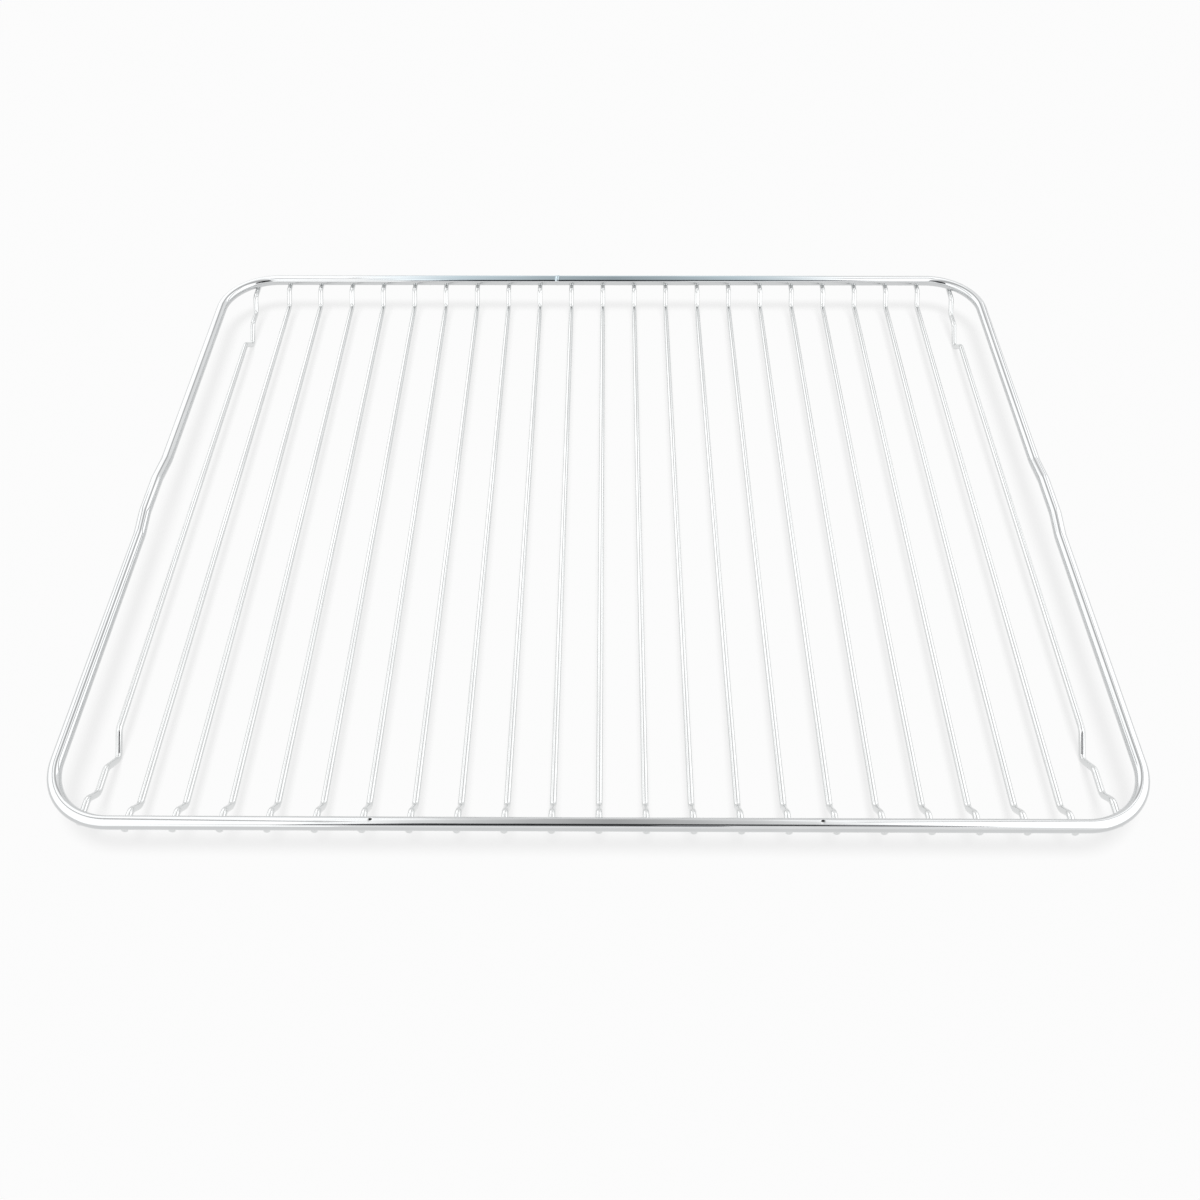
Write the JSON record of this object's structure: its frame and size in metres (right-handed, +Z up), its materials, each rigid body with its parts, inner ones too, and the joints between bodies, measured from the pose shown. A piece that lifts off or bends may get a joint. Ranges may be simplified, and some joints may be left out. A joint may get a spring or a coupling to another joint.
{
  "type": "oven shelf rack",
  "caption": "Rectangular wire oven shelf: a thick frame wire with a dropped grid of thin wires welded under it, V-shaped feet and anti-tip bumps on the side runs.",
  "frame": {"origin": "centre of the bounding box's bottom face, on the surface that the feet stand on", "axes": "+X to the right along the front run, +Y from the front of the shelf to its rear, +Z up"},
  "size_m": [0.466, 0.3851, 0.0248],
  "materials": {
    "frame_chrome": "bright chrome plate on drawn steel wire",
    "grid_chrome": "bright chrome plate on thin drawn steel wire"
  },
  "bodies": {
    "root": {"frame_wire": "frame_chrome", "foot_wire_left": "grid_chrome", "foot_wire_right": "grid_chrome", "grid_wire_01": "grid_chrome", "grid_wire_02": "grid_chrome", "grid_wire_03": "grid_chrome", "grid_wire_04": "grid_chrome", "grid_wire_05": "grid_chrome", "grid_wire_06": "grid_chrome", "grid_wire_07": "grid_chrome", "grid_wire_08": "grid_chrome", "grid_wire_09": "grid_chrome", "grid_wire_10": "grid_chrome", "grid_wire_11": "grid_chrome", "grid_wire_12": "grid_chrome", "grid_wire_13": "grid_chrome", "grid_wire_14": "grid_chrome", "grid_wire_15": "grid_chrome", "grid_wire_16": "grid_chrome", "grid_wire_17": "grid_chrome", "grid_wire_18": "grid_chrome", "grid_wire_19": "grid_chrome", "grid_wire_20": "grid_chrome", "grid_wire_21": "grid_chrome"}
  },
  "joints": []
}
